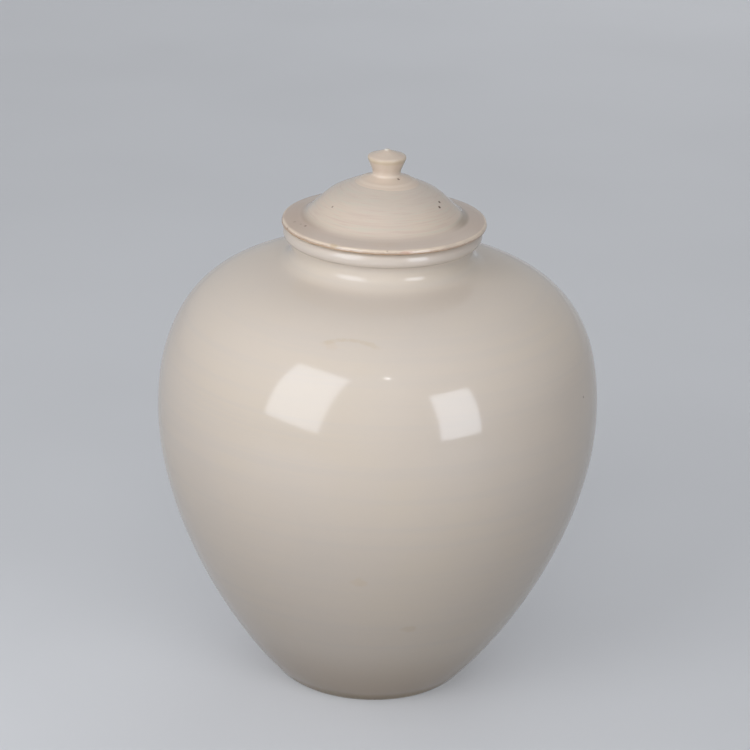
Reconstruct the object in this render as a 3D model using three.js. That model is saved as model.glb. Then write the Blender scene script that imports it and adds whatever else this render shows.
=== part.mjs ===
// Porcelain ginger jar: a thrown ovoid jar with a short neck and a rolled lip, closed by a domed
// lid that drops into the mouth, with a small flared knob luted to the lid's crown.
// Millimetres, +Z up, origin at the centre of the foot's resting plane.

import * as THREE from 'three';
import { mergeVertices } from 'three/addons/utils/BufferGeometryUtils.js';

// Jar, outside
const jarHeight = 258.9; // to the top of the lip
const footRadius = 53.2; // where the wall starts, above the foot's bevel
const footBevelHeight = 1.2;
const footBevelWidth = 1.6;
const wallRise = 47.3; // degrees above level at which the wall leaves the foot
const wallRiseLength = 43.4; // how far the lower wall keeps to that direction
const bellyRadius = 119.8;
const bellyHeight = 155.2;
const bellyFullnessBelow = 57.7;
const bellyFullnessAbove = 76.2;
const shoulderSlope = 18; // degrees, where the shoulder meets the neck's sweep
const shoulderFullness = 14.2;
const neckRadius = 48.3;
const neckSweep = 9.5; // radius of the concave sweep from shoulder to neck
const neckStraight = 3.1; // upright stretch of neck above the sweep
const lipOverhang = 4.9; // how far the lip stands out from the neck
const lipHeight = 8.6;
const lipLowerRound = 3.25;
const lipDrawIn = 3; // from the roll's widest line in to the edge of the lid's seat
const lipRoot = 1; // small fillet under the lip

// Jar, inside and underneath
const wall = 5;
const mouthEdgeRound = 1.5;
const baseThickness = 7;
const floorCove = 14; // height over which the floor turns up into the wall
const footRingWidth = 6.5;
const footRecess = 3.5; // depth of the hollow base within the foot ring
const footRecessSlope = 1.5;

// Lid
const lidOverhang = 1.6; // how far the lid's rim stands out past the lip
const rimThickness = 2.5;
const flangeWidth = 11.6; // from the rim in to where the flange turns up into the dome
const flangeRise = 1.8; // of the flange's top above the rim's top
const domeFootSlope = 43.5; // degrees above level
const domeFootFullness = 19.6;
const domeHeight = 23.1; // from the seat on the lip to the crown
const crownMargin = 0.6; // flat of the crown that shows round the knob's foot
const crownSlope = 23.2; // degrees, where the dome meets the crown
const crownFullness = 16.6;
const lidWall = 4.5;
const crownThickness = 4;
const collarDepth = 10;
const collarWall = 4;
const collarClearance = 1.2; // all round, between the collar and the mouth
const collarEdge = 1;

// Knob
const knobHeight = 18; // from its seat on the crown to the tip
const knobFootRadius = 16;
const knobFootEdge = 0.7;
const stemRadius = 7.55;
const stemSweep = 2; // radius of the concave sweep from the foot's top to the stem
const stemSweepTurn = 70; // degrees
const stemFoot = 4.8; // height above the crown at which the sweep ends and the stem is upright
const waistHeight = 6.3; // height above the crown at which the head starts to flare
const headRadius = 10.2;
const headEdgeRound = 1;
const headConeHeight = 3.7;
const tipRadius = 2;
const tipHeight = 0.7;

// Turning: straight pieces round each solid, and along the curves of its profile
const jarSegments = 56;
const lidSegments = 48;
const knobSegments = 32;
const outsideSteps = { below: 10, above: 11, sweep: 4 };
const insideSteps = { below: 7, above: 8, sweep: 4 };
const domeSteps = 11;
const coveSteps = 4;
const edgeSteps = { lip: 4, lipRoot: 2, mouth: 3, rim: 6, knob: 4 };
const weldDistance = 1e-4;

// Glaze colours
const jarGlaze = { color: 0xd2c8bb, roughness: 0.12, metalness: 0 };
const lidGlaze = { color: 0xd0c0b2, roughness: 0.2, metalness: 0 };

// The lid lies to one side of its play in the mouth, as a lid set down by hand does.
const lidShift = collarClearance / 2;
const lipRadius = neckRadius + lipOverhang;
const mouthRadius = neckRadius - wall;
const collarRadius = mouthRadius - collarClearance;
const lidRadius = lipRadius + lidOverhang;
const crownRadius = knobFootRadius + crownMargin;
const crownZ = jarHeight + domeHeight;

const radians = THREE.MathUtils.degToRad;
const degrees = THREE.MathUtils.radToDeg;
const point = (r, z) => new THREE.Vector2(r, z);

// A point at a distance from another, in a direction given in degrees above level
function towards(from, direction, distance) {
  const angle = radians(direction);
  return point(from.x + distance * Math.cos(angle), from.y + distance * Math.sin(angle));
}

function arc(centre, radius, fromDegrees, toDegrees, steps) {
  const points = [];
  for (let i = 0; i <= steps; i += 1) {
    points.push(towards(centre, fromDegrees + ((toDegrees - fromDegrees) * i) / steps, radius));
  }
  return points;
}

function bezier(start, startHandle, endHandle, end, steps) {
  return new THREE.CubicBezierCurve(start, startHandle, endHandle, end).getPoints(steps);
}

// The same line moved sideways, to the left of its direction, by a wall's thickness
function movedInward(line, thickness) {
  return line.map((here, i) => {
    const before = line[Math.max(i - 1, 0)];
    const after = line[Math.min(i + 1, line.length - 1)];
    const along = after.clone().sub(before).normalize();
    return point(here.x - along.y * thickness, here.y + along.x * thickness);
  });
}

// Where a line crosses a level, given as its place along 'x' or 'y' and the line's two ends there
function crossing(from, to, axis, level) {
  return from.clone().lerp(to, (level - from[axis]) / (to[axis] - from[axis]));
}

// A closed solid turned about Z from a profile that starts and ends on the axis
function turned(profile, segments) {
  const spaced = profile.filter((here, i) => i === 0 || here.distanceTo(profile[i - 1]) > weldDistance);
  const geometry = new THREE.LatheGeometry(spaced, segments);
  geometry.rotateX(Math.PI / 2);
  geometry.deleteAttribute('normal');
  geometry.deleteAttribute('uv');
  const closed = mergeVertices(geometry, weldDistance);
  const corners = closed.index.array;
  const kept = [];
  for (let i = 0; i < corners.length; i += 3) {
    const [a, b, c] = corners.slice(i, i + 3);
    if (a !== b && b !== c && c !== a) kept.push(a, b, c);
  }
  closed.setIndex(kept);
  closed.computeVertexNormals();
  return closed;
}

// The jar's outer wall, from the foot to the top of the neck
function jarWallLine(steps) {
  const foot = point(footRadius, footBevelHeight);
  const belly = point(bellyRadius, bellyHeight);
  const neckTop = point(neckRadius, jarHeight - lipHeight - lipRoot);
  const sweepCentre = point(neckRadius + neckSweep, neckTop.y - neckStraight);
  const sweepStart = 270 - shoulderSlope;
  const shoulderEnd = towards(sweepCentre, sweepStart, neckSweep);
  return [
    ...bezier(
      foot,
      towards(foot, wallRise, wallRiseLength),
      point(bellyRadius, bellyHeight - bellyFullnessBelow),
      belly,
      steps.below,
    ),
    ...bezier(
      belly,
      point(bellyRadius, bellyHeight + bellyFullnessAbove),
      towards(shoulderEnd, -shoulderSlope, shoulderFullness),
      shoulderEnd,
      steps.above,
    ).slice(1),
    ...arc(sweepCentre, neckSweep, sweepStart, 180, steps.sweep).slice(1),
    neckTop,
  ];
}

// The lip: a small root under it, a roll fullest below its middle, a flat seat, a rounded mouth
function lipLine() {
  const under = jarHeight - lipHeight;
  const widest = under + lipLowerRound;
  const rollHeight = jarHeight - widest;
  const rollRadius = (rollHeight ** 2 + lipDrawIn ** 2) / (2 * lipDrawIn);
  const rollTurn = degrees(Math.atan2(rollHeight, rollRadius - lipDrawIn));
  const root = point(neckRadius + lipRoot, under - lipRoot);
  const lower = point(lipRadius - lipLowerRound, widest);
  const upper = point(lipRadius - rollRadius, widest);
  const mouth = point(mouthRadius + mouthEdgeRound, jarHeight - mouthEdgeRound);
  return [
    ...arc(root, lipRoot, 180, 90, edgeSteps.lipRoot),
    ...arc(lower, lipLowerRound, -90, 0, edgeSteps.lip),
    ...arc(upper, rollRadius, 0, rollTurn, edgeSteps.lip),
    ...arc(mouth, mouthEdgeRound, 90, 180, edgeSteps.mouth),
  ];
}

// The inside of the jar, from the neck down to the middle of the floor
function insideLine() {
  const floorZ = footRecess + baseThickness;
  const side = movedInward(jarWallLine(insideSteps), wall).reverse();
  const below = side.findIndex((p) => p.y < floorZ + floorCove);
  const coveEnd = crossing(side[below - 1], side[below], 'y', floorZ + floorCove);
  const coveCorner = crossing(side[below - 1], side[below], 'y', floorZ);
  const coveStart = point(coveCorner.x - floorCove, floorZ);
  return [
    ...side.slice(0, below),
    ...new THREE.QuadraticBezierCurve(coveEnd, coveCorner, coveStart).getPoints(coveSteps),
    point(0, floorZ),
  ];
}

function jarBodyProfile() {
  const restingRadius = footRadius - footBevelWidth;
  const recessRadius = restingRadius - footRingWidth;
  return [
    point(0, footRecess),
    point(recessRadius - footRecessSlope, footRecess),
    point(recessRadius, 0),
    point(restingRadius, 0),
    ...jarWallLine(outsideSteps),
    ...lipLine(),
    ...insideLine(),
  ];
}

// The dome's outer line, from the flange up to the flat crown
function domeLine() {
  const foot = point(lidRadius - flangeWidth, jarHeight + rimThickness + flangeRise);
  const crown = point(crownRadius, crownZ);
  return bezier(
    foot,
    towards(foot, 180 - domeFootSlope, domeFootFullness),
    towards(crown, -crownSlope, crownFullness),
    crown,
    domeSteps,
  );
}

// The lid: hollow under the dome, a collar that drops into the mouth, a flange with a round rim
function lidProfile() {
  const dome = domeLine();
  const rim = point(lidRadius - rimThickness / 2, jarHeight + rimThickness / 2);
  const collarBottom = jarHeight - collarDepth;
  const collarInner = collarRadius - collarWall;
  const hollow = movedInward(dome, lidWall);
  const inward = Math.max(hollow.findIndex((p) => p.x < collarInner), 1);
  const hollowEdge = crossing(hollow[inward - 1], hollow[inward], 'x', collarInner);
  return [
    point(0, crownZ - crownThickness),
    ...hollow.slice(inward).reverse(),
    hollowEdge,
    point(collarInner, collarBottom + collarEdge),
    point(collarInner + collarEdge, collarBottom),
    point(collarRadius - collarEdge, collarBottom),
    point(collarRadius, collarBottom + collarEdge),
    point(collarRadius, jarHeight),
    ...arc(rim, rimThickness / 2, -90, 90, edgeSteps.rim),
    ...dome,
    point(0, crownZ),
  ];
}

// The knob: a flat foot, a sweep up to a short stem, a flared head and a low cone with a small tip
function knobProfile() {
  const top = crownZ + knobHeight;
  const waistZ = crownZ + waistHeight;
  const footEdge = point(knobFootRadius - knobFootEdge / 2, crownZ + knobFootEdge / 2);
  const sweepCentre = point(stemRadius + stemSweep, crownZ + stemFoot);
  const headEdge = point(headRadius - headEdgeRound, top - tipHeight - headConeHeight);
  const headFlare = degrees(Math.atan2(headRadius - stemRadius, headEdge.y - waistZ));
  const coneSlope = degrees(Math.atan2(headConeHeight - headEdgeRound, headEdge.x - tipRadius));
  return [
    point(0, crownZ),
    ...arc(footEdge, knobFootEdge / 2, -90, 90, edgeSteps.knob),
    ...arc(sweepCentre, stemSweep, 180 + stemSweepTurn, 180, edgeSteps.knob),
    point(stemRadius, waistZ),
    ...arc(headEdge, headEdgeRound, -headFlare, 90 - coneSlope, edgeSteps.knob),
    point(tipRadius, top - tipHeight),
    point(0, top),
  ];
}

function piece(name, profile, segments, finish) {
  const mesh = new THREE.Mesh(turned(profile, segments), new THREE.MeshStandardMaterial(finish));
  mesh.name = name;
  return mesh;
}

const gingerJar = new THREE.Group();
gingerJar.add(piece('jar_body', jarBodyProfile(), jarSegments, jarGlaze));

const lidGroup = new THREE.Group();
lidGroup.position.x = lidShift;
lidGroup.add(piece('lid', lidProfile(), lidSegments, lidGlaze));
lidGroup.add(piece('lid_knob', knobProfile(), knobSegments, lidGlaze));
gingerJar.add(lidGroup);

export default gingerJar;
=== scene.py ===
import math

import bpy
from mathutils import Matrix, Vector, noise
from mathutils.geometry import interpolate_bezier


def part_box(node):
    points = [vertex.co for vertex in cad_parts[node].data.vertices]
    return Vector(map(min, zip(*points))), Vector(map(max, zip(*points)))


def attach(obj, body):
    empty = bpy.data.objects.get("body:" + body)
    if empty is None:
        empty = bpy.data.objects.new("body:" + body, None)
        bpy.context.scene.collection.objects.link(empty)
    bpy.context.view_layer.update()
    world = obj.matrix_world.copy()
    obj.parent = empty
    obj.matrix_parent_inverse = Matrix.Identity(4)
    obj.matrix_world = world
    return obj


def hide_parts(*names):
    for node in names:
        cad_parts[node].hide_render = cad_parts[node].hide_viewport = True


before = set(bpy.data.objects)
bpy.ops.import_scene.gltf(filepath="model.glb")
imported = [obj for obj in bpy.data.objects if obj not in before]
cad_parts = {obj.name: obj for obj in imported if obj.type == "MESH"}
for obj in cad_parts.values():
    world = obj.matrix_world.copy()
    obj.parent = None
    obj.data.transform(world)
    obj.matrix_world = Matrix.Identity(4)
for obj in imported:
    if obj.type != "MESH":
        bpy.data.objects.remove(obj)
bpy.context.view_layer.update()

mm = 0.001  # the outlines below are in millimetres, the meshes in metres


# Lines and outlines: radius and height, in millimetres

def toward(start, degrees, distance):
    angle = math.radians(degrees)
    return Vector(start) + distance * Vector((math.cos(angle), math.sin(angle)))


def arcLine(centre, radius, fromDegrees, toDegrees, steps):
    turn = toDegrees - fromDegrees
    return [toward(centre, fromDegrees + turn * i / steps, radius) for i in range(steps + 1)]


def curveLine(start, startHandle, endHandle, end, steps):
    return [Vector(p) for p in interpolate_bezier(start, startHandle, endHandle, end, steps + 1)]


def roundedCorner(start, corner, end, steps):
    return curveLine(start, start.lerp(corner, 2 / 3), end.lerp(corner, 2 / 3), end, steps)


def softLine(corners, steps=6):
    # each corner is radius, height and how far from it its rounding starts; two roundings never overlap
    line = []
    for i, (r, z, soft) in enumerate(corners):
        here = Vector((r, z))
        if soft == 0:
            line.append(here)
            continue
        before, after = Vector(corners[i - 1][:2]) - here, Vector(corners[i + 1][:2]) - here
        soft = min(soft, before.length / 2, after.length / 2)
        start = here + before.normalized() * soft
        end = here + after.normalized() * soft
        line += roundedCorner(start, here, end, steps)
    return line


def movedInward(line, thickness):  # the same line, a wall's thickness to the left of its direction
    moved = []
    for i, here in enumerate(line):
        along = (line[min(i + 1, len(line) - 1)] - line[max(i - 1, 0)]).normalized()
        moved.append(here + thickness * Vector((-along.y, along.x)))
    return moved


def withoutRepeats(line, least=0.03):
    kept = [line[0]]
    for here in line[1:]:
        if (here - kept[-1]).length > least:
            kept.append(here)
    return kept


def bell(value, middle, reach):  # 1 at the middle, fading out on both sides
    return math.exp(-((value - middle) / reach) ** 2)


def turnedPiece(name, outline, segments, shapedBy, centre=0.0):
    # a closed skin turned about the piece's own axis; shapedBy moves each point a little, as a hand does
    outline = withoutRepeats(outline)
    rings = outline[1:-1]
    points = [shapedBy(Vector((0, 0, outline[0].y)))]
    for r, z in rings:
        for k in range(segments):
            angle = 2 * math.pi * k / segments
            points.append(shapedBy(Vector((r * math.cos(angle), r * math.sin(angle), z))))
    points.append(shapedBy(Vector((0, 0, outline[-1].y))))
    faces = []
    last = len(points) - 1
    lastRing = 1 + (len(rings) - 1) * segments
    for k in range(segments):
        n = (k + 1) % segments
        faces.append((0, 1 + n, 1 + k))
        faces.append((last, lastRing + k, lastRing + n))
        for j in range(len(rings) - 1):
            a = 1 + j * segments
            b = a + segments
            faces.append((a + k, a + n, b + n, b + k))
    mesh = bpy.data.meshes.new(name)
    mesh.from_pydata([(p + Vector((centre, 0, 0))) * mm for p in points], [], faces)
    mesh.polygons.foreach_set("use_smooth", [True] * len(mesh.polygons))
    mesh.validate()
    made = bpy.data.objects.new(name, mesh)
    bpy.context.scene.collection.objects.link(made)
    return made


# Material nodes

def addNode(tree, kind, feeds=None, **settings):
    made = tree.nodes.new("ShaderNode" + kind)
    for setting, value in settings.items():
        setattr(made, setting, value)
    for socket, value in (feeds or {}).items():
        if isinstance(value, bpy.types.NodeSocket):
            tree.links.new(value, made.inputs[socket])
        else:
            made.inputs[socket].default_value = value
    return made


def maths(tree, operation, first, second=0.0):
    return addNode(tree, "Math", {0: first, 1: second}, operation=operation).outputs[0]


def times(tree, first, second):
    return maths(tree, "MULTIPLY", first, second)


def plus(tree, first, second):
    return maths(tree, "ADD", first, second)


def rising(tree, value, low, high):  # 0 below low, 1 above high; falling where low is the higher one
    feeds = {"Value": value, "From Min": low, "From Max": high}
    return addNode(tree, "MapRange", feeds, interpolation_type="SMOOTHSTEP").outputs[0]


def band(tree, value, middle, half, soft):
    up = rising(tree, value, middle - half - soft, middle - half)
    down = rising(tree, value, middle + half + soft, middle + half)
    return times(tree, up, down)


def mask(tree, value, where, unit=1.0, start=0.0):
    # a band round a middle, or a change from one value to another, in a unit and measured from a start
    if "middle" in where:
        middle = start + where["middle"] * unit
        return band(tree, value, middle, where["half"] * unit, where["soft"] * unit)
    return rising(tree, value, start + where["from"] * unit, start + where["to"] * unit)


def paint(tree, share, under, over):
    over = over if isinstance(over, bpy.types.NodeSocket) else colour(*over)
    under = under if isinstance(under, bpy.types.NodeSocket) else colour(*under)
    return addNode(tree, "Mix", {0: share, 6: under, 7: over}, data_type="RGBA").outputs[2]


def wash(tree, base, value, tint, unit=1.0, start=0.0):
    # a tint's shade over the base, by its mask and its share
    share = times(tree, mask(tree, value, tint, unit, start), tint["share"])
    return paint(tree, share, base, tint["shade"])


def cloud(tree, place, perMetre, detail=2.0):
    feeds = {"Vector": place, "Scale": perMetre, "Detail": detail, "Roughness": 0.55}
    return addNode(tree, "TexNoise", feeds).outputs[0]


def vectorMaths(tree, operation, first, second=(0, 0, 0)):
    return addNode(tree, "VectorMath", {0: first, 1: second}, operation=operation)


def stretched(tree, place, factors):
    return vectorMaths(tree, "MULTIPLY", place, factors).outputs[0]


def colour(r, g, b):  # a colour as seen on a screen, from 0 to 255, in the values that a shader takes
    def light(v):
        v = v / 255
        return v / 12.92 if v <= 0.04045 else ((v + 0.055) / 1.055) ** 2.4
    return (light(r), light(g), light(b), 1.0)


def newMaterial(name):
    material = bpy.data.materials.new(name)
    material.use_nodes = True
    tree = material.node_tree
    return material, tree, tree.nodes["Principled BSDF"]


def wherePoint(tree, centre, raggedPerMetre):
    # where a point of the surface lies on its piece: from the axis, round it from the front, and up
    place = addNode(tree, "TexCoord").outputs["Object"]
    fromAxis = vectorMaths(tree, "SUBTRACT", place, (centre * mm, 0, 0)).outputs[0]
    x, y, z = addNode(tree, "SeparateXYZ", {0: fromAxis}).outputs
    radius = vectorMaths(tree, "LENGTH", stretched(tree, fromAxis, (1, 1, 0))).outputs["Value"]
    azimuth = maths(tree, "ARCTAN2", x, times(tree, y, -1.0))
    ragged = cloud(tree, fromAxis, raggedPerMetre)
    return {"place": fromAxis, "y": y, "z": z, "r": radius, "azimuth": azimuth, "ragged": ragged}


markEdge = {"from": 1.1, "to": 0.4}  # where a mark starts and where it is whole, as shares of its size


def paintMarks(tree, at, base, marks):
    # a mark is where it is in x, y and z, how wide, how high, its colour and how strong it is
    for x, y, z, wide, high, shade, strength in marks:
        away = vectorMaths(tree, "SUBTRACT", at["place"], (x * mm, y * mm, z * mm)).outputs[0]
        scaled = stretched(tree, away, (1 / (wide * mm), 1 / (wide * mm), 1 / (high * mm)))
        distance = vectorMaths(tree, "LENGTH", scaled).outputs["Value"]
        uneven = plus(tree, distance, maths(tree, "SUBTRACT", at["ragged"], 0.5))
        base = paint(tree, times(tree, mask(tree, uneven, markEdge), strength), base, shade)
    return base


speckHeart = 0.4  # the share of a speck's size that has its full colour
speckChoice = {"from": 0.5, "to": 0.9}  # only some of the places that could have a speck do
speckSide = {"from": 5, "to": 25}  # in millimetres behind the axis


def paintSpecks(tree, at, base, specks):
    # a few iron specks in the glaze, on the sides that the marks above don't describe
    across = times(tree, at["azimuth"], specks["radius"] * mm)
    flat = addNode(tree, "CombineXYZ", {0: across, 1: at["z"], 2: 0.0}).outputs[0]
    feeds = {"Vector": flat, "Scale": 1 / (specks["apart"] * mm)}
    cells = addNode(tree, "TexVoronoi", feeds, voronoi_dimensions="2D")
    size = specks["size"] / specks["apart"]
    chosen = addNode(tree, "SeparateColor", {0: cells.outputs["Color"]}).outputs[0]
    dot = rising(tree, cells.outputs["Distance"], size, size * speckHeart)
    kept = times(tree, dot, mask(tree, chosen, speckChoice))
    return paint(tree, times(tree, kept, mask(tree, at["y"], speckSide, mm)), base, specks["shade"])


def glazeSkin(tree, at, ripple):
    # the faint orange peel of a fired glaze, and the turning lines under it
    peel = cloud(tree, at["place"], ripple["peelPerMetre"])
    flattened = stretched(tree, at["place"], (1, 1, ripple["linesStretch"]))
    lines = cloud(tree, flattened, ripple["linesPerMetre"])
    height = plus(tree, times(tree, peel, ripple["peelShare"]), lines)
    feeds = {"Height": height, "Strength": 1.0, "Distance": ripple["depth"] * mm}
    return addNode(tree, "Bump", feeds).outputs[0]


def finishGlaze(tree, shader, look, at, base, haze, dull):
    # the glaze's own gloss, hazier in places, and dull where dull is 1
    low, high = look["gloss"]
    glossy = plus(tree, times(tree, haze, high - low), low)
    tree.links.new(base, shader.inputs["Base Color"])
    tree.links.new(plus(tree, glossy, times(tree, dull, look["dullness"])), shader.inputs["Roughness"])
    tree.links.new(glazeSkin(tree, at, look["ripple"]), shader.inputs["Normal"])
    shader.inputs["IOR"].default_value = look["glassiness"]


# Jar: measures, skin and glaze

jarLow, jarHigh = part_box("jar_body")
jarValues = {
    "form": {
        "top": jarHigh.z / mm,
        "bellyRadius": (jarHigh.x - jarLow.x) / 2 / mm,
        "bellyHeight": 155.2,
        "fullnessBelow": 57.7,
        "fullnessAbove": 76.2,
        "footRadius": 53.2,
        "footBevel": (1.6, 1.2),
        "footRing": 6.5,
        "footRecess": 3.5,
        "recessSlope": 1.5,
        "recessRound": 1.0,
        "ringInnerRound": 0.7,
        "ringOuterRound": 0.5,
        "footRise": 47.3,
        "footRiseLength": 43.4,
        "shoulderSlope": 18.0,
        "shoulderFullness": 14.2,
        "neckRadius": 48.3,
        "neckSweep": 5.5,
        "neckSweepTurn": 40.0,
        "neckFlare": 13.5,  # the wider sweep from there down to the shoulder
        "neckStraight": 4.3,
        "lipOut": 4.9,
        "lipHeight": 8.6,
        "lipLowerRound": 3.25,
        "lipDrawIn": 3.0,
        "lipRoot": 1.0,
        "seatEdge": 0.8,
        "wall": 5.0,
        "mouthRound": 1.5,
        "base": 7.0,
        "floorCove": 14.0,
        "segments": 256,
        "steps": {
            "outside": 72,
            "inside": 48,
            "cove": 10,
            "lipRoot": 5,
            "lipUnder": 12,
            "lipRoll": 18,
            "seatEdge": 6,
            "mouth": 8,
        },
    },
    # never quite round: the shoulder sits to the right, the lip to the left and higher at its right
    "hand": {
        "shoulderShift": 0.45,
        "shoulderHeight": 205,
        "shoulderReach": 28,
        "lipShift": -0.4,
        "lipTilt": 0.33,
        "tiltLate": 6,  # the higher, the nearer to the lip the tilt sets in
        "bellyKept": 3,  # about this near to its widest radius the wall hardly strays
        "oval": 0.12,
        "ovalTurn": 1.1,
        "ovalFade": 8,  # how narrowly the oval fades out at the jar's left and right
        "wander": 0.05,
        "wanderAround": 1.7,
        "wanderHeight": 40,
        "turning": 0.012,
        "turningHeight": 3.1,
        "turningSeed": (0.3, 0.7),
        "neckRipple": 0.04,
        "neckRippleAround": 0.8,
        "neckRippleHeight": 1.3,
        "neckRippleSeed": 0.4,
        "neckBelowTop": 15,
        "neckReach": 4,
        "glazeBead": 0.12,
        "beadHeight": 2.4,
        "beadReach": 0.7,
    },
    "glaze": {
        "glassiness": 1.5,
        "gloss": (0.06, 0.12),
        "dullness": 0.6,
        "raggedPerMetre": 420.0,
        "body": (217, 206, 195),
        "cloudsPerMetre": 10.0,
        "warmClouds": {"shade": (219, 207, 192), "share": 0.6, "from": 0.45, "to": 0.7},
        "coolClouds": {"shade": (212, 203, 195), "share": 0.5, "from": 0.5, "to": 0.3},
        "ringsPerMetre": 8.0,
        "ringsStretch": (0.6, 0.6, 30.0),
        "coolRings": {"shade": (212, 203, 195), "share": 0.4, "from": 0.45, "to": 0.7},
        # measured from the top of the jar
        "hollowTint": {"shade": (200, 196, 182), "share": 0.12, "middle": -14, "half": 4, "soft": 5},
        "lip": {"shade": (216, 206, 197), "share": 0.85, "from": -9.9, "to": -8.2},
        "neckHaze": {"share": 0.06, "middle": -14.5, "half": 4.0, "soft": 1.5},
        "seatTop": {"from": -1.0, "to": -0.5},
        # measured from the floor
        # darker and warmer towards the foot: a warmer glaze, and painted shade on the lower body
        "lower": {"shade": (196, 178, 159), "share": 0.8, "from": 50, "to": 6},
        # a darker, browner band at the foot: the glaze's yellow edge, and painted shade where the jar meets
        # the floor
        "footEdge": {"shade": (160, 140, 108), "share": 0.8, "from": 8, "to": 2.5},
        "bareFoot": {"from": 1.75, "to": 1.45},
        "bareUneven": 0.8,
        "seatRadius": {"from": 52.2, "to": 51.2},
        "clay": (209, 193, 168),
        "clayEdge": (184, 152, 118),
        "clayGrain": {"from": 0.5, "to": 0.8},
        "marks": {
            "speckRight": (108.2, -45.6, 180.9, 0.7, 0.7, (120, 104, 92), 0.8),
            "underStain": (-24.5, -90.9, 221.8, 4.5, 2.4, (214, 195, 174), 0.22),
            "warmSpot": (-6.4, -109.6, 98.8, 5.0, 3.5, (214, 196, 172), 0.35),
            "warmSpotLower": (20.6, -93.8, 65.4, 5.0, 3.0, (208, 190, 166), 0.35),
            "streakBehind": (-61.0, 72.0, 213.0, 7.0, 1.6, (214, 194, 170), 0.4),
        },
        # a faint brown stain, drawn as one thin arc over the front of the shoulder
        "stain": {
            "points": [
                (-28.1, -88.8, 222.6),
                (-24.6, -88.4, 223.6),
                (-19.6, -88.4, 224.4),
                (-14.0, -89.1, 224.6),
                (-8.9, -90.1, 224.4),
                (-4.3, -91.6, 223.6),
                (-0.2, -93.9, 222.0),
            ],
            "drops": 3,
            "size": (3.0, 0.9),
            "shade": (206, 188, 162),
            "strength": 0.16,
        },
        "specks": {"radius": 100, "apart": 42, "size": 0.7, "shade": (132, 112, 96)},
        "ripple": {
            "peelPerMetre": 260.0,
            "peelShare": 0.7,
            "linesPerMetre": 9.0,
            "linesStretch": 60.0,
            "depth": 0.012,
        },
    },
}


def jarWall(steps):
    f = jarValues["form"]
    neckSteps = steps // 4  # for each of the neck's two short arcs
    up = Vector((0, 1))
    foot = Vector((f["footRadius"], f["footBevel"][1]))
    belly = Vector((f["bellyRadius"], f["bellyHeight"]))
    neckTop = Vector((f["neckRadius"], f["top"] - f["lipHeight"] - f["lipRoot"]))
    sweepCentre = neckTop + Vector((f["neckSweep"], -f["neckStraight"]))
    flareCentre = toward(sweepCentre, f["neckSweepTurn"], f["neckFlare"] - f["neckSweep"])
    flareStart = 270 - f["shoulderSlope"]
    flareEnd = 180 + f["neckSweepTurn"]
    shoulderEnd = toward(flareCentre, flareStart, f["neckFlare"])
    footHandle = toward(foot, f["footRise"], f["footRiseLength"])
    shoulderHandle = toward(shoulderEnd, -f["shoulderSlope"], f["shoulderFullness"])
    lower = curveLine(foot, footHandle, belly - up * f["fullnessBelow"], belly, steps)
    upper = curveLine(belly, belly + up * f["fullnessAbove"], shoulderHandle, shoulderEnd, steps)
    flare = arcLine(flareCentre, f["neckFlare"], flareStart, flareEnd, neckSteps)
    sweep = arcLine(sweepCentre, f["neckSweep"], flareEnd, 180, neckSteps)
    return lower + upper[1:] + flare[1:] + sweep[1:] + [neckTop]


def jarLip():
    # a roll that is fullest low down and draws in to the lid's seat
    f = jarValues["form"]
    steps = f["steps"]
    lipRadius = f["neckRadius"] + f["lipOut"]
    under = f["top"] - f["lipHeight"]
    widest = under + f["lipLowerRound"]
    rise, drawIn = f["top"] - widest, f["lipDrawIn"]
    rollRadius = (rise ** 2 + drawIn ** 2) / (2 * drawIn)
    rollTurn = math.degrees(math.atan2(rise, rollRadius - drawIn))
    roll = arcLine((lipRadius - rollRadius, widest), rollRadius, 0, rollTurn, steps["lipRoll"])
    seat = roll[-1] - Vector((f["seatEdge"], 0))
    mouth = f["neckRadius"] - f["wall"] + f["mouthRound"]
    root = (f["neckRadius"] + f["lipRoot"], under - f["lipRoot"])
    edgeStart = -3  # the seat's edge starts to round two steps before the roll's end
    return (
        arcLine(root, f["lipRoot"], 180, 90, steps["lipRoot"])
        + arcLine((lipRadius - f["lipLowerRound"], widest), f["lipLowerRound"], -90, 0, steps["lipUnder"])
        + roll[:edgeStart]
        + roundedCorner(roll[edgeStart], roll[-1], seat, steps["seatEdge"])
        + arcLine((mouth, f["top"] - f["mouthRound"]), f["mouthRound"], 90, 180, steps["mouth"])
    )


def jarOutline():
    f = jarValues["form"]
    steps = f["steps"]
    floor = f["footRecess"] + f["base"]
    resting = f["footRadius"] - f["footBevel"][0]
    recess = resting - f["footRing"]
    underside = softLine([
        (0, f["footRecess"], 0),
        (recess - f["recessSlope"], f["footRecess"], f["recessRound"]),
        (recess, 0, f["ringInnerRound"]),
        (resting, 0, f["ringOuterRound"]),
        (f["footRadius"], f["footBevel"][1], 0),
    ])
    wholeInside = reversed(movedInward(jarWall(steps["inside"]), f["wall"]))
    inside = [p for p in wholeInside if p.y > floor + f["floorCove"]]
    side = (inside[-1] - inside[-2]).normalized()
    corner = inside[-1] + side * (floor - inside[-1].y) / side.y
    cove = roundedCorner(inside[-1], corner, corner - Vector((f["floorCove"], 0)), steps["cove"])
    return underside[:-1] + jarWall(steps["outside"]) + jarLip() + inside + cove[1:] + [Vector((0, floor))]


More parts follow.
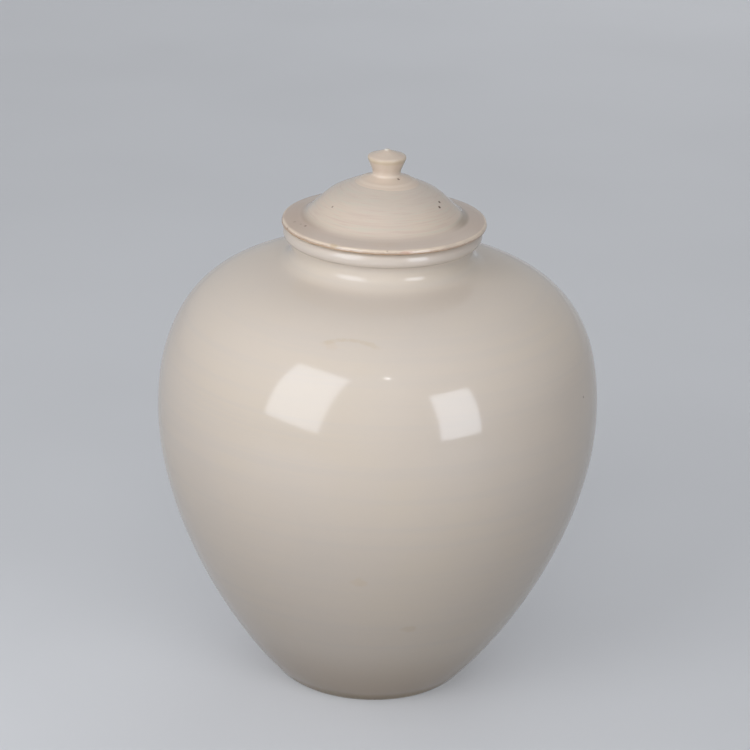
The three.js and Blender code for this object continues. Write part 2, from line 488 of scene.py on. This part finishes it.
def jarByHand(p):
    f = jarValues["form"]
    h = jarValues["hand"]
    r = math.hypot(p.x, p.y)
    if r < 1:  # on the axis
        return p
    azimuth = math.atan2(p.y, p.x)
    aroundAxis = Vector((math.cos(azimuth), math.sin(azimuth), p.z / h["wanderHeight"]))
    low = min(p.z / f["bellyHeight"], 1)
    rise = min(max((p.z - f["bellyHeight"]) / (f["top"] - f["bellyHeight"]), 0), 1)
    shoulder = bell(p.z, h["shoulderHeight"], h["shoulderReach"])
    awayFromBelly = 1 - bell(r, f["bellyRadius"], h["bellyKept"])
    sides = abs(math.cos(azimuth)) ** h["ovalFade"]
    oval = -h["oval"] * low * (1 - math.cos(2 * azimuth + h["ovalTurn"])) * (1 - sides)
    wander = h["wander"] * noise.noise(aroundAxis * h["wanderAround"])
    turning = h["turning"] * noise.noise(Vector((*h["turningSeed"], p.z / h["turningHeight"])))
    inNeck = bell(p.z, f["top"] - h["neckBelowTop"], h["neckReach"])
    rippled = Vector((azimuth * h["neckRippleAround"], h["neckRippleSeed"], p.z / h["neckRippleHeight"]))
    turning += h["neckRipple"] * inNeck * noise.noise(rippled)
    bead = h["glazeBead"] * bell(p.z, h["beadHeight"], h["beadReach"]) if r > f["footRadius"] else 0
    out = 1 + (oval + (wander + turning) * awayFromBelly + bead) / r
    shift = h["lipShift"] * rise ** 2 + h["shoulderShift"] * shoulder * awayFromBelly
    lift = math.tan(math.radians(h["lipTilt"])) * p.x * rise ** h["tiltLate"]
    return Vector((p.x * out + shift, p.y * out, p.z + lift))


def stainMarks(stain):
    # drops from each point of the stain to the next, close enough to run together
    marks = []
    for start, end in zip(stain["points"], stain["points"][1:]):
        for i in range(stain["drops"]):
            drop = Vector(start).lerp(Vector(end), i / stain["drops"])
            marks.append((*drop, *stain["size"], stain["shade"], stain["strength"]))
    return marks


def jarGlaze():
    look = jarValues["glaze"]
    top = jarValues["form"]["top"] * mm
    material, tree, shader = newMaterial("creamJarGlaze")
    at = wherePoint(tree, 0.0, look["raggedPerMetre"])
    z = at["z"]
    clouds = cloud(tree, at["place"], look["cloudsPerMetre"], detail=3.0)
    base = wash(tree, look["body"], clouds, look["warmClouds"])
    base = wash(tree, base, clouds, look["coolClouds"])
    flattened = stretched(tree, at["place"], look["ringsStretch"])
    rings = cloud(tree, flattened, look["ringsPerMetre"], detail=3.0)
    base = wash(tree, base, rings, look["coolRings"])
    base = wash(tree, base, z, look["hollowTint"], mm, top)
    base = wash(tree, base, z, look["lip"], mm, top)
    # painted shade, with a warmer glaze, darkening the body towards the foot
    base = wash(tree, base, z, look["lower"], mm)
    base = wash(tree, base, z, look["footEdge"], mm)
    base = paintMarks(tree, at, base, [*look["marks"].values(), *stainMarks(look["stain"])])
    base = paintSpecks(tree, at, base, look["specks"])
    unevenHeight = plus(tree, z, times(tree, at["ragged"], look["bareUneven"] * mm))
    bareFoot = mask(tree, unevenHeight, look["bareFoot"], mm)
    seatTop = mask(tree, z, look["seatTop"], mm, top)
    bareSeat = times(tree, seatTop, mask(tree, at["r"], look["seatRadius"], mm))
    bare = maths(tree, "MAXIMUM", bareFoot, bareSeat)
    clay = paint(tree, mask(tree, at["ragged"], look["clayGrain"]), look["clay"], look["clayEdge"])
    base = paint(tree, bare, base, clay)
    neck = mask(tree, z, look["neckHaze"], mm, top)
    dull = maths(tree, "MAXIMUM", bare, times(tree, neck, look["neckHaze"]["share"]))
    finishGlaze(tree, shader, look, at, base, clouds, dull)
    return material


def makeJar():
    jar = turnedPiece("glazed_jar", jarOutline(), jarValues["form"]["segments"], jarByHand)
    jar.data.materials.append(jarGlaze())
    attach(jar, "jar")
    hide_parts("jar_body")
    print("jar: turned, glazed")


# Lid: measures, skin and glaze

lidLow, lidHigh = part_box("lid")
lidValues = {
    "form": {
        "centre": (lidLow.x + lidHigh.x) / 2 / mm,
        "rimRadius": (lidHigh.x - lidLow.x) / 2 / mm,
        "seat": jarHigh.z / mm,
        "crown": lidHigh.z / mm,
        "collarBottom": lidLow.z / mm,
        "crownRadius": 16.6,
        "rim": 2.5,
        # the rim's outer face: how far in from the widest line, how far above the seat, how softly it turns
        "rimCorners": [(0.3, 0.0, 0.5), (0.0, 0.75, 0.6), (0.55, 2.2, 0.4)],
        "flangeWidth": 11.6,
        "flangeRise": 1.8,
        "flangeFillet": 2.8,
        "domeFootSlope": 43.5,
        "domeFootFullness": 19.6,
        "crownSlope": 23.2,
        "crownFullness": 16.6,
        "wall": 4.5,
        "collarRadius": 42.1,
        "collarWall": 4.0,
        "collarRound": 1.2,
        "hollowRound": 1.5,
        "segments": 384,
        "steps": {"dome": 72, "fillet": 10},
    },
    "hand": {
        "tilt": 0.36,
        "shift": -0.3,
        "wander": 0.06,
        "wanderAround": 1.5,
        "wanderHeight": 30,
        "wanderInward": 0.5,
        "wanderLift": 0.3,
        "turning": 0.025,
        "turningWidth": 2.2,
        "turningSeed": (0.1, 0.9),
        "wornWidth": 2.5,  # chips and wear reach this far in from the rim
        "wear": 0.08,
        "wearAround": 14,
        "wearHeight": 2,
        "wearSeed": 4.2,
        "chipHeight": 1.1,
        "chipUneven": 0.6,
        "chipGrain": 1.3,
        # chips in the rim: their x and y, how far down from the rim's middle, how wide and how deep
        "chips": {
            "frontLeft": (-41.3, -35.9, 0.5, 1.5, 0.40),
            "frontLeftWide": (-32.2, -44.3, 0.4, 2.2, 0.45),
            "frontLeftShallow": (-27.5, -47.4, 0.2, 1.6, 0.25),
            "frontLeftLow": (-16.0, -52.4, 0.7, 1.3, 0.45),
            "front": (1.9, -54.7, 0.0, 1.2, 0.22),
            "left": (-51.2, -19.4, 0.3, 1.0, 0.25),
            "backRight": (38.0, 39.5, 0.5, 1.8, 0.35),
            "back": (-12.0, 53.4, 0.3, 1.4, 0.30),
        },
    },
    "glaze": {
        "glassiness": 1.5,
        "gloss": (0.05, 0.09),
        "dullness": 0.45,
        "raggedPerMetre": 500.0,
        "dome": (216, 201, 188),
        "cloudsPerMetre": 22.0,
        "warmClouds": {"shade": (219, 203, 186), "share": 0.6, "from": 0.42, "to": 0.66},
        "ringLength": 0.0025,  # how little the rings change on their way round the lid
        "ringsPerMetre": 300.0,
        "pinkRings": {"shade": (208, 188, 176), "share": 0.6, "from": 0.5, "to": 0.72},
        "greenRings": {"shade": (208, 203, 189), "share": 0.45, "from": 0.48, "to": 0.3},
        "fineRingsPerMetre": 850.0,
        "pinkFineRings": {"shade": (208, 188, 176), "share": 0.6, "from": 0.5, "to": 0.72},
        "greenFineRings": {"shade": (208, 203, 189), "share": 0.5, "from": 0.5, "to": 0.3},
        # measured out from the start of the flange
        "flange": {"shade": (208, 192, 180), "share": 0.7, "from": -1.8, "to": 1.0},
        "crease": {"middle": -0.4, "half": 0.8, "soft": 2.2},
        # measured round the lid from the front, in radians
        "toRight": {"middle": 1.75, "half": 0.35, "soft": 0.5},
        "toLeft": {"middle": -1.6, "half": 0.3, "soft": 0.7},
        # painted shade: the flange darker and warmer at its left and right sides
        "paintedSideShade": (198, 178, 163),
        "paintedSideShareRight": 0.6,
        # painted shade in the crease between dome and flange, darkest at the right, with some pooled glaze
        "hollowTint": (146, 132, 114),
        "creaseShadeAllRound": 0.04,
        "creaseShadeRight": 0.62,
        "creaseShadeLeft": 0.2,
        # measured out from the rim
        "onRim": {"from": -1.9, "to": -0.9},
        # a pale cream edge on the rim, in patches round it: thinner glaze, and a painted highlight
        "rimEdgeWearAndSheen": (236, 219, 200),
        "rimEdgeWearAndSheenShare": 0.8,
        "wornAndSheenPerRadian": 3.5,
        "wornAndSheen": {"from": 0.3, "to": 0.55},
        # measured up from the lid's seat
        "greyTop": {"shade": (203, 195, 186), "share": 0.3, "from": 12, "to": 20},
        "heightUneven": 0.9,
        "seam": {"shade": (188, 164, 146), "share": 0.75, "from": 2.1, "to": 1.5},
        "lowRim": {"shade": (176, 142, 110), "share": 0.85, "from": 1.3, "to": 0.8},
        "atSeat": {"from": 0.25, "to": 0.1},
        "bareRadius": {"from": 38.5, "to": 39.5},
        "clay": (212, 197, 174),
        "clayEdge": (188, 158, 126),
        "clayGrain": {"from": 0.5, "to": 0.8},
        "marks": {
            "domeSpeck": (28.6, -11.4, 274.8, 1.15, 1.1, (100, 76, 62), 1.0),
            "domeSpeckLower": (28.6, -15.5, 273.4, 0.95, 0.95, (98, 74, 60), 0.95),
            "domeSpeckLeft": (-27.5, -18.7, 272.7, 0.7, 0.6, (132, 108, 96), 0.7),
            "flangeSpeck": (-41.4, -21.1, 262.6, 0.95, 0.6, (122, 100, 92), 0.8),
            "flangeFaintSpeck": (-47.4, -13.2, 262.1, 1.1, 0.6, (160, 146, 132), 0.6),
            "flangeDash": (-44.1, -17.8, 262.4, 1.3, 0.4, (160, 144, 134), 0.5),
            "ochreRim": (-26.0, -47.8, 260.7, 3.2, 1.2, (206, 182, 146), 0.6),
            "pinkRim": (12.5, -53.3, 260.3, 5.0, 0.8, (200, 158, 140), 0.55),
            "rimCrumb": (1.9, -54.4, 261.0, 0.9, 0.6, (170, 146, 124), 0.6),
            "rimSpotLeft": (-51.2, -19.4, 260.2, 1.0, 0.7, (150, 124, 108), 0.5),
            "speckBehindRight": (30.0, 25.0, 266.2, 0.8, 0.8, (120, 96, 84), 0.7),
            "speckBehindLeft": (-14.0, 44.0, 263.0, 0.9, 0.6, (122, 100, 92), 0.7),
        },
        "specks": {"radius": 45, "apart": 26, "size": 0.6, "shade": (128, 104, 90)},
        "ripple": {
            "peelPerMetre": 300.0,
            "peelShare": 0.8,
            "linesPerMetre": 9.0,
            "linesStretch": 90.0,
            "depth": 0.014,
        },
    },
}


def lidDome():
    f = lidValues["form"]
    foot = Vector((f["rimRadius"] - f["flangeWidth"], f["seat"] + f["rim"] + f["flangeRise"]))
    crown = Vector((f["crownRadius"], f["crown"]))
    footHandle = toward(foot, 180 - f["domeFootSlope"], f["domeFootFullness"])
    crownHandle = toward(crown, -f["crownSlope"], f["crownFullness"])
    return curveLine(foot, footHandle, crownHandle, crown, f["steps"]["dome"])


def lidOutline():
    f = lidValues["form"]
    dome = lidDome()
    half = f["rim"] / 2
    widest = f["rimRadius"]
    inner = f["collarRadius"] - f["collarWall"]
    under = f["collarBottom"]
    hollow = [p for p in movedInward(dome, f["wall"]) if p.x < inner - f["hollowRound"]]
    collar = softLine([
        (*hollow[0], 0),
        (inner, hollow[0].y - (inner - hollow[0].x), f["hollowRound"]),
        (inner, under, f["collarRound"]),
        (f["collarRadius"], under, f["collarRound"]),
        (f["collarRadius"], f["seat"], 0),
    ])
    rim = softLine(
        [(widest - half, f["seat"], 0)]
        + [(widest - inward, f["seat"] + up, soft) for inward, up, soft in f["rimCorners"]]
        + [(widest - half, f["seat"] + f["rim"], 0)]
    )
    foot = dome[0]
    onFlange = foot + (rim[-1] - foot).normalized() * f["flangeFillet"]
    onDome = next(i for i, p in enumerate(dome) if (p - foot).length > f["flangeFillet"])
    fillet = roundedCorner(onFlange, foot, dome[onDome], f["steps"]["fillet"])
    return (
        [Vector((0, hollow[-1].y))]
        + hollow[::-1]
        + collar[1:]
        + rim
        + [rim[-1].lerp(onFlange, 0.5)]
        + fillet
        + dome[onDome + 1:]
        + [Vector((0, f["crown"]))]
    )


def lidByHand(p):
    # the lid lies a little tilted and to one side, wanders a little in its round, and is worn at the rim
    f = lidValues["form"]
    h = lidValues["hand"]
    tilt = math.tan(math.radians(h["tilt"]))
    moved = Vector((p.x - tilt * (p.z - f["seat"]) + h["shift"], p.y, p.z + tilt * p.x))
    r = math.hypot(p.x, p.y)
    if r < 1:  # on the axis
        return moved
    azimuth = math.atan2(p.y, p.x)
    around = h["wanderAround"]
    aroundAxis = Vector((math.cos(azimuth) * around, math.sin(azimuth) * around, p.z / h["wanderHeight"]))
    wander = h["wander"] * noise.noise(aroundAxis)
    onTop = p.z > f["seat"] + f["rim"]
    outward = Vector((*h["turningSeed"], r / h["turningWidth"]))
    turning = h["turning"] * noise.noise(outward) if onTop else 0
    inward = wander * h["wanderInward"]
    middle = f["seat"] + f["rim"] / 2
    if r > f["rimRadius"] - h["wornWidth"] and not onTop:
        for x, y, down, wide, deep in h["chips"].values():
            across = math.hypot(p.x - x, p.y - y) / wide
            upward = (p.z - middle + down) / h["chipHeight"]
            uneven = 1 + h["chipUneven"] * noise.noise(p * h["chipGrain"])
            inward += deep * math.exp(-(across ** 2 + upward ** 2)) * uneven
        along = Vector((azimuth * h["wearAround"], p.z / h["wearHeight"], h["wearSeed"]))
        inward += h["wear"] * max(noise.noise(along), 0)
    lift = min(turning, 0) + wander * h["wanderLift"]
    return moved + Vector((-p.x / r * inward, -p.y / r * inward, lift))


def lidGlaze(name, marks, ringsOut=(), ringsUp=(), shift=0.0):
    look = lidValues["glaze"]
    f = lidValues["form"]
    seat = f["seat"] * mm
    rim = f["rimRadius"] * mm
    flangeStart = rim - f["flangeWidth"] * mm
    material, tree, shader = newMaterial(name)
    at = wherePoint(tree, f["centre"] + lidValues["hand"]["shift"] + shift, look["raggedPerMetre"])
    r, z = at["r"], at["z"]
    clouds = cloud(tree, at["place"], look["cloudsPerMetre"], detail=3.0)
    base = wash(tree, look["dome"], clouds, look["warmClouds"])
    alongRing = times(tree, at["azimuth"], look["ringLength"])
    downSlope = maths(tree, "SUBTRACT", r, z)
    ringPlace = addNode(tree, "CombineXYZ", {0: alongRing, 1: downSlope, 2: 0.0}).outputs[0]
    wideRings = cloud(tree, ringPlace, look["ringsPerMetre"], detail=3.0)
    base = wash(tree, base, wideRings, look["pinkRings"])
    base = wash(tree, base, wideRings, look["greenRings"])
    fineRings = cloud(tree, ringPlace, look["fineRingsPerMetre"])
    base = wash(tree, base, fineRings, look["pinkFineRings"])
    base = wash(tree, base, fineRings, look["greenFineRings"])
    base = wash(tree, base, z, look["greyTop"], mm, seat)
    onFlange = mask(tree, r, look["flange"], mm, flangeStart)
    base = paint(tree, times(tree, onFlange, look["flange"]["share"]), base, look["flange"]["shade"])
    toRight = mask(tree, at["azimuth"], look["toRight"])
    toLeft = mask(tree, at["azimuth"], look["toLeft"])
    creaseShadeOnRight = times(tree, toRight, look["creaseShadeRight"])
    creaseShadeOnLeft = times(tree, toLeft, look["creaseShadeLeft"])
    creaseShadeShare = plus(tree, plus(tree, creaseShadeOnRight, creaseShadeOnLeft), look["creaseShadeAllRound"])
    # painted shade on the flange's left and right sides
    sides = maths(tree, "MAXIMUM", toLeft, times(tree, toRight, look["paintedSideShareRight"]))
    base = paint(tree, times(tree, onFlange, sides), base, look["paintedSideShade"])
    # painted shade in the crease at the dome's foot, with some pooled glaze
    crease = mask(tree, r, look["crease"], mm, flangeStart)
    base = paint(tree, times(tree, crease, creaseShadeShare), base, look["hollowTint"])
    # a pale rim edge in patches: thinner glaze with a painted highlight
    roundRim = addNode(tree, "CombineXYZ", {0: at["azimuth"], 1: 0.0, 2: 0.0}).outputs[0]
    wornAndSheen = mask(tree, cloud(tree, roundRim, look["wornAndSheenPerRadian"]), look["wornAndSheen"])
    onRim = mask(tree, r, look["onRim"], mm, rim)
    wearAndSheenShare = times(tree, times(tree, onRim, look["rimEdgeWearAndSheenShare"]), wornAndSheen)
    base = paint(tree, wearAndSheenShare, base, look["rimEdgeWearAndSheen"])
    unevenHeight = plus(tree, z, times(tree, at["ragged"], look["heightUneven"] * mm))
    seam = times(tree, mask(tree, unevenHeight, look["seam"], mm, seat), onRim)
    base = paint(tree, times(tree, seam, look["seam"]["share"]), base, look["seam"]["shade"])
    lowRim = times(tree, mask(tree, unevenHeight, look["lowRim"], mm, seat), onRim)
    base = paint(tree, times(tree, lowRim, look["lowRim"]["share"]), base, look["lowRim"]["shade"])
    for ring in ringsOut:
        base = wash(tree, base, r, ring, mm)
    for ring in ringsUp:
        base = wash(tree, base, z, ring, mm)
    base = paintMarks(tree, at, base, marks.values())
    base = paintSpecks(tree, at, base, look["specks"])
    atSeat = mask(tree, z, look["atSeat"], mm, seat)
    bare = times(tree, atSeat, mask(tree, r, look["bareRadius"], mm))
    clay = paint(tree, mask(tree, at["ragged"], look["clayGrain"]), look["clay"], look["clayEdge"])
    base = paint(tree, bare, base, clay)
    finishGlaze(tree, shader, look, at, base, clouds, maths(tree, "MAXIMUM", bare, lowRim))
    return material


def makeLid():
    form = lidValues["form"]
    lid = turnedPiece("glazed_lid", lidOutline(), form["segments"], lidByHand, form["centre"])
    lid.data.materials.append(lidGlaze("pinkishLidGlaze", lidValues["glaze"]["marks"]))
    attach(lid, "lid")
    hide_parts("lid")
    print("lid: turned, glazed")


# Knob: measures and skin; it has the lid's glaze, with marks and rings of its own

knobLow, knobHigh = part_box("lid_knob")
knobValues = {
    "form": {
        "seat": knobLow.z / mm,
        "top": knobHigh.z / mm,
        "tipLower": 0.15,  # the glazed tip ends this far below the solid's
        "shift": 0.5,
        # the low pad round its foot, going inward: radius, height above the crown and how softly it turns;
        # its outer edge lies just inside the dome, where the glaze joins the two
        "pad": [
            (18.5, -1.3, 0),
            (16.9, -0.08, 0.8),
            (15.0, 0.78, 0.9),
            (13.6, 1.68, 0.7),
            (12.2, 2.05, 1.1),
        ],
        "padDrop": (0.4, 0.3),
        "beddingGap": 1.0,
        "stemRadius": 7.55,
        "stemSweep": 1.6,
        "stemSweepTurn": 70,
        "stemFoot": 4.9,
        "waistHeight": 6.3,
        "waistRound": 1.2,
        "headCorner": (10.75, 14.05),
        "headRound": 1.9,
        "tipRadius": 2.0,
        "tipHeight": 0.85,
        "tipRound": 0.7,
        "pointRadius": 1.1,
        "pointHeight": 0.15,
        "pointRound": 0.5,
        "segments": 160,
        "steps": {"sweep": 14, "head": 10},
    },
    "glaze": {
        "marks": {
            "speckAtStem": (6.2, -6.4, 285.0, 0.95, 0.85, (112, 84, 68), 0.9),
            # a greyer, darker patch on the stem's right side: painted shade, with a greener glaze
            "shadeOnStemRight": (7.1, -1.5, 290.5, 3.0, 4.0, (186, 180, 164), 0.45),
            # the tip's front left painted near white: a thinner, whiter glaze and a painted highlight
            "paleTipAndHighlight": (-0.6, -0.9, 299.6, 1.8, 0.7, (243, 238, 230), 0.9),
        },
        # rings round the knob, measured out from its axis, and then up from the floor
        "ringsOut": [
            {"shade": (226, 206, 187), "share": 0.55, "middle": 0.0, "half": 17.0, "soft": 1.0},
            # a paler ring on the pad's ridge, a painted highlight
            {"shade": (226, 211, 196), "share": 0.5, "middle": 14.3, "half": 0.4, "soft": 0.7},
        ],
        "ringsUp": [
            # a thin pale ring where the stem sweeps into the pad, a painted highlight
            {"shade": (238, 225, 210), "share": 0.4, "middle": 286.4, "half": 0.3, "soft": 0.45},
            {"shade": (210, 192, 162), "share": 0.5, "middle": 294.6, "half": 0.6, "soft": 1.2},
        ],
    },
}


def knobOutline():
    # a foot that feathers out on the lid, a tight sweep up to the stem, a flared head and a low cone
    f = knobValues["form"]
    s = f["seat"]
    sweepCentre = Vector((f["stemRadius"] + f["stemSweep"], s + f["stemFoot"]))
    sweep = arcLine(sweepCentre, f["stemSweep"], 180 + f["stemSweepTurn"], 180, f["steps"]["sweep"])
    pad = softLine([(r, s + z, soft) for r, z, soft in f["pad"]] + [(*sweep[0], 0)])
    headR, headZ = f["headCorner"]
    tip = f["top"] - f["tipLower"]
    head = softLine([
        (*sweep[-1], 0),
        (f["stemRadius"], s + f["waistHeight"], f["waistRound"]),
        (headR, s + headZ, f["headRound"]),
        (f["tipRadius"], tip - f["tipHeight"], f["tipRound"]),
        (f["pointRadius"], tip - f["pointHeight"], f["pointRound"]),
        (0, tip, 0),
    ], f["steps"]["head"])
    underKnob = Vector((lidValues["form"]["crownRadius"] - f["beddingGap"], s))
    bedded = [Vector((0, s)), underKnob, pad[0] - Vector(f["padDrop"])]
    return bedded + pad[:-1] + sweep[:-1] + head


def makeKnob():
    form = knobValues["form"]
    look = knobValues["glaze"]
    centre = lidValues["form"]["centre"] + form["shift"]
    # shaped as the lid is, so that it leans with the lid
    knob = turnedPiece("glazed_knob", knobOutline(), form["segments"], lidByHand, centre)
    glaze = lidGlaze("knobGlaze", look["marks"], look["ringsOut"], look["ringsUp"], form["shift"])
    knob.data.materials.append(glaze)
    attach(knob, "lid")
    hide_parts("lid_knob")
    print("knob: turned, glazed")


# Stage: floor, lamps, world and camera, in metres

studio = {
    "floorSeen": (186, 188, 192),  # as the camera and the glaze's reflections see it
    "floorGlow": (196, 199, 205),  # evens out the seen floor, so that it stays pale far from the lamps
    "floorGlowNear": 0.3,
    "floorGlowFar": 0.46,
    "floorGlowGrows": {"from": 0.8, "to": 5.0},  # how far from the jar
    "floorLight": (78, 76, 73),  # as it throws light back at the jar
    "floorPatchesPerMetre": 3.0,
    "floorPatches": {"from": 0.35, "to": 0.7},
    "floorPatchShare": 0.06,
    "floorRoughness": 0.8,
    "floorReach": 14.0,
    "floorSides": 64,
    "worldTint": (0.97, 0.98, 1.0, 1.0),
    "worldSeen": 0.5,
    "worldLow": 0.18,  # the light from the horizon and below
    "worldHigh": 0.25,  # the light from straight above
    "glareTint": (0.92, 1.0, 1.12),
    "glareInFront": 0.002,
    # each softbox lights the jar with its watts, and shows in the glaze with its glareWatts;
    # it faces back along a turn, a rise and a roll, in degrees
    "softboxes": [
        {
            "name": "softboxLeft",
            "centre": (-0.658, -0.781, 0.691),
            "faces": (-37.1, 17.5, -7.4),
            "size": (0.60, 0.92),
            "watts": 5.9,
            "glareWatts": 5.9,
        },
        {
            "name": "softboxRight",
            "centre": (1.000, -1.167, 0.594),
            "faces": (41.0, 13.0, 3.2),
            "size": (0.60, 0.925),
            "watts": 5.0,
            "glareWatts": 7.2,
        },
    ],
    # soft lamps that don't show in the glaze, and one small lamp that does
    "softLamps": [
        {"name": "fillLamp", "centre": (0.5, 1.9, 1.9), "across": 1.6, "watts": 6.0},
        {"name": "backLamp", "centre": (0.7, 2.6, 0.9), "across": 1.4, "watts": 7.0},
        {"name": "frontTopLamp", "centre": (0.1, -1.9, 1.9), "across": 1.2, "watts": 10.1},
        {"name": "leftLamp", "centre": (-1.7, 0.1, 0.9), "across": 1.2, "watts": 4.4},
        {"name": "frontLowLamp", "centre": (0.0, -2.4, 0.6), "across": 1.0, "watts": 7.2},
    ],
    "pinLamp": {"name": "pinLamp", "centre": (0.132, -1.363, 1.760), "across": 0.06, "watts": 0.25},
    "camera": {
        "from": (-0.00188, -1.33795, 0.69114),
        "to": (-0.00188, 0.0, 0.17165),
        "roll": 1.95,
        "lens": 126.45,
        "filmWidth": 36.0,
    },
}


def seenRays(tree):  # 1 for what the camera sees, directly or in a reflection
    rays = addNode(tree, "LightPath").outputs
    mirrored = maths(tree, "MAXIMUM", rays["Is Glossy Ray"], rays["Is Transmission Ray"])
    return maths(tree, "MAXIMUM", rays["Is Camera Ray"], mirrored)


def makeFloor():
    reach = studio["floorReach"]
    sides = studio["floorSides"]
    turns = [2 * math.pi * k / sides for k in range(sides)]
    corners = [(reach * math.cos(turn), reach * math.sin(turn), 0) for turn in turns]
    mesh = bpy.data.meshes.new("paleFloor")
    mesh.from_pydata(corners, [], [tuple(range(sides))])
    floor = bpy.data.objects.new("paleFloor", mesh)
    bpy.context.scene.collection.objects.link(floor)
    material, tree, shader = newMaterial("paleFloorPaint")
    place = addNode(tree, "TexCoord").outputs["Object"]
    patches = mask(tree, cloud(tree, place, studio["floorPatchesPerMetre"]), studio["floorPatches"])
    patchShare = times(tree, patches, studio["floorPatchShare"])
    seen = seenRays(tree)
    pale = paint(tree, patchShare, studio["floorSeen"], studio["floorLight"])
    tree.links.new(paint(tree, seen, studio["floorLight"], pale), shader.inputs["Base Color"])
    distance = vectorMaths(tree, "LENGTH", place).outputs["Value"]
    near, far = studio["floorGlowNear"], studio["floorGlowFar"]
    grown = mask(tree, distance, studio["floorGlowGrows"])
    glow = plus(tree, times(tree, grown, far - near), near)
    tree.links.new(times(tree, seen, glow), shader.inputs["Emission Strength"])
    shader.inputs["Emission Color"].default_value = colour(*studio["floorGlow"])
    shader.inputs["Roughness"].default_value = studio["floorRoughness"]
    floor.data.materials.append(material)


def addLamp(name, centre, across, watts, facing, lights=True, mirrored=False):
    lamp = bpy.data.lights.new(name, "AREA")
    lamp.energy = watts
    lamp.shape = "RECTANGLE"
    lamp.size, lamp.size_y = across
    made = bpy.data.objects.new(name, lamp)
    made.matrix_world = Matrix.Translation(centre) @ facing.to_4x4()
    made.visible_camera = False
    made.visible_diffuse = lights
    made.visible_glossy = mirrored
    bpy.context.scene.collection.objects.link(made)
    return lamp


def makeLamps():
    for box in studio["softboxes"]:
        azimuth, elevation, roll = (math.radians(a) for a in box["faces"])
        level = math.cos(elevation)
        back = Vector((math.sin(azimuth) * level, -math.cos(azimuth) * level, math.sin(elevation)))
        side = Vector((math.cos(azimuth), math.sin(azimuth), 0))
        up = back.cross(side)
        facing = Matrix((
            side * math.cos(roll) + up * math.sin(roll),
            up * math.cos(roll) - side * math.sin(roll),
            back,
        )).transposed()
        centre = Vector(box["centre"])
        addLamp(box["name"], centre, box["size"], box["watts"], facing)
        inFront = centre - back * studio["glareInFront"]
        glare = addLamp(box["name"] + "Glare", inFront, box["size"], box["glareWatts"], facing, False, True)
        glare.color = studio["glareTint"]
    for lamp in studio["softLamps"] + [studio["pinLamp"]]:
        centre = Vector(lamp["centre"])
        facing = centre.to_track_quat("Z", "Y").to_matrix()
        across = (lamp["across"], lamp["across"])
        addLamp(lamp["name"], centre, across, lamp["watts"], facing, mirrored=lamp is studio["pinLamp"])


def makeWorld():
    # soft light from all round, stronger from above
    world = bpy.data.worlds.new("studioWorld")
    world.use_nodes = True
    tree = world.node_tree
    background = tree.nodes["Background"]
    height = addNode(tree, "SeparateXYZ", {0: addNode(tree, "TexCoord").outputs["Generated"]}).outputs[2]
    low, high = studio["worldLow"], studio["worldHigh"]
    light = plus(tree, times(tree, rising(tree, height, 0.0, 1.0), high - low), low)
    feeds = {0: seenRays(tree), 2: light, 3: studio["worldSeen"]}
    strength = addNode(tree, "Mix", feeds, data_type="FLOAT").outputs[0]
    background.inputs["Color"].default_value = studio["worldTint"]
    tree.links.new(strength, background.inputs["Strength"])
    bpy.context.scene.world = world


def makeCamera():
    spec = studio["camera"]
    camera = bpy.data.objects.new("photoCamera", bpy.data.cameras.new("photoCamera"))
    camera.data.lens = spec["lens"]
    camera.data.sensor_width = spec["filmWidth"]
    camera.data.dof.use_dof = False
    back = Vector(spec["from"]) - Vector(spec["to"])
    turn = back.to_track_quat("Z", "Y").to_matrix() @ Matrix.Rotation(math.radians(spec["roll"]), 3, "Z")
    camera.matrix_world = Matrix.Translation(spec["from"]) @ turn.to_4x4()
    bpy.context.scene.collection.objects.link(camera)
    bpy.context.scene.camera = camera


makeCamera()
makeFloor()
makeLamps()
makeWorld()
print("stage: floor, lamps, world and camera")
makeJar()
makeLid()
makeKnob()
bpy.context.scene.view_settings.view_transform = "Standard"
